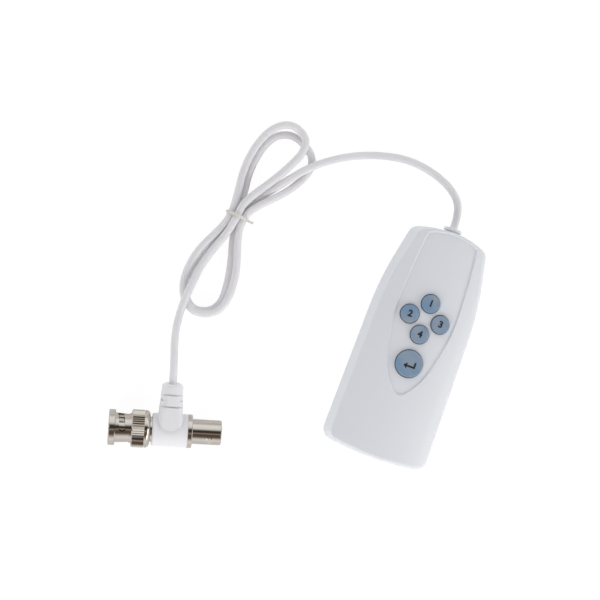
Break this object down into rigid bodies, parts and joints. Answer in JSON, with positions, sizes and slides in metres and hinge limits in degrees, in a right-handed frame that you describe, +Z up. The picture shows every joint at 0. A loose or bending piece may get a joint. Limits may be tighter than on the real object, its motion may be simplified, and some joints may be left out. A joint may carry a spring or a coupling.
{
  "type": "video signal converter",
  "caption": "Hand-held menu keypad for a camera's video line: a white handset on a tied cord that ends in a coaxial tee with a bayonet plug and a jack.",
  "frame": {"origin": "on the surface that the handset lies on, under the middle of the handset", "axes": "+Z up out of the keys, +Y along the handset towards its cord end, +X across it to the right"},
  "size_m": [0.1226, 0.1464, 0.0217],
  "materials": {
    "shell": "satin",
    "key_rubber": "matte",
    "board": "satin",
    "chip_black": "matte",
    "plunger_plastic": "matte",
    "tinned_metal": "satin",
    "can_metal": "satin",
    "screw_steel": "satin",
    "cell_jacket": "satin",
    "cord_jacket": "satin",
    "core_red": "satin",
    "tie_plastic": "matte",
    "moulding": "satin",
    "nickel": "polished",
    "insulator": "satin",
    "contact_brass": "polished",
    "gasket_rubber": "matte"
  },
  "bodies": {
    "handset": {"front_shell": "shell", "rear_shell": "shell", "circuit_board": "board", "switch_body_top": "chip_black", "switch_body_left": "chip_black", "switch_body_right": "chip_black", "switch_body_bottom": "chip_black", "switch_body_confirm": "chip_black", "switch_pins": "tinned_metal", "controller_chip": "chip_black", "crystal": "can_metal", "capacitor_left": "can_metal", "capacitor_right": "can_metal", "resistors": "chip_black", "case_screws": "screw_steel", "battery_cell": "cell_jacket", "battery_contact_plus": "tinned_metal", "battery_contact_minus": "tinned_metal", "battery_spring": "screw_steel", "cable_grommet": "cord_jacket", "cord_stub": "cord_jacket", "core_wire": "core_red", "screen_wire": "chip_black", "cord_lead": "cord_jacket", "cord_hank": "cord_jacket", "cord_tail": "cord_jacket", "cord_tie": "tie_plastic", "tee_housing": "moulding", "plug_body": "nickel", "plug_insulator": "insulator", "plug_pin": "contact_brass", "plug_gasket": "gasket_rubber", "wave_washer": "screw_steel", "retaining_ring": "screw_steel", "jack_shell": "nickel", "jack_insulator": "insulator", "jack_socket": "contact_brass", "centre_bridge": "contact_brass", "shield_link": "contact_brass"},
    "door": {"battery_door": "shell"},
    "key_top": {"key_top": "key_rubber", "switch_plunger_top": "plunger_plastic"},
    "key_left": {"key_left": "key_rubber", "switch_plunger_left": "plunger_plastic"},
    "key_right": {"key_right": "key_rubber", "switch_plunger_right": "plunger_plastic"},
    "key_bottom": {"key_bottom": "key_rubber", "switch_plunger_bottom": "plunger_plastic"},
    "key_confirm": {"key_confirm": "key_rubber", "switch_plunger_confirm": "plunger_plastic"},
    "washer": {"thrust_washer": "screw_steel"},
    "sleeve": {"coupling_sleeve": "nickel"}
  },
  "joints": [
    {"name": "door_slide", "type": "slide", "parent": "handset", "child": "door", "axis": [0, -1, 0], "range_m": [0, 0.024]},
    {"name": "key_top_press", "type": "slide", "parent": "handset", "child": "key_top", "axis": [0, 0, -1], "range_m": [0, 0.0004], "stiffness_N_per_m": 400, "springref_m": -0.0005},
    {"name": "key_left_press", "type": "slide", "parent": "handset", "child": "key_left", "axis": [0, 0, -1], "range_m": [0, 0.0004], "stiffness_N_per_m": 400, "springref_m": -0.0005},
    {"name": "key_right_press", "type": "slide", "parent": "handset", "child": "key_right", "axis": [0, 0, -1], "range_m": [0, 0.0004], "stiffness_N_per_m": 400, "springref_m": -0.0005},
    {"name": "key_bottom_press", "type": "slide", "parent": "handset", "child": "key_bottom", "axis": [0, 0, -1], "range_m": [0, 0.0004], "stiffness_N_per_m": 400, "springref_m": -0.0005},
    {"name": "key_confirm_press", "type": "slide", "parent": "handset", "child": "key_confirm", "axis": [0, 0, -1], "range_m": [0, 0.0004], "stiffness_N_per_m": 400, "springref_m": -0.0005},
    {"name": "coupling_float", "type": "slide", "parent": "handset", "child": "washer", "axis": [-0.9576, -0.2855, 0.0401], "range_m": [0, 0.0004], "stiffness_N_per_m": 4000, "springref_m": -0.0005, "deforming": ["wave_washer"]},
    {"name": "coupling_turn", "type": "hinge", "parent": "washer", "child": "sleeve", "pos_m": [-0.0994, -0.0702, 0.00781], "axis": [0.9576, 0.2855, -0.0401], "continuous": true}
  ]
}
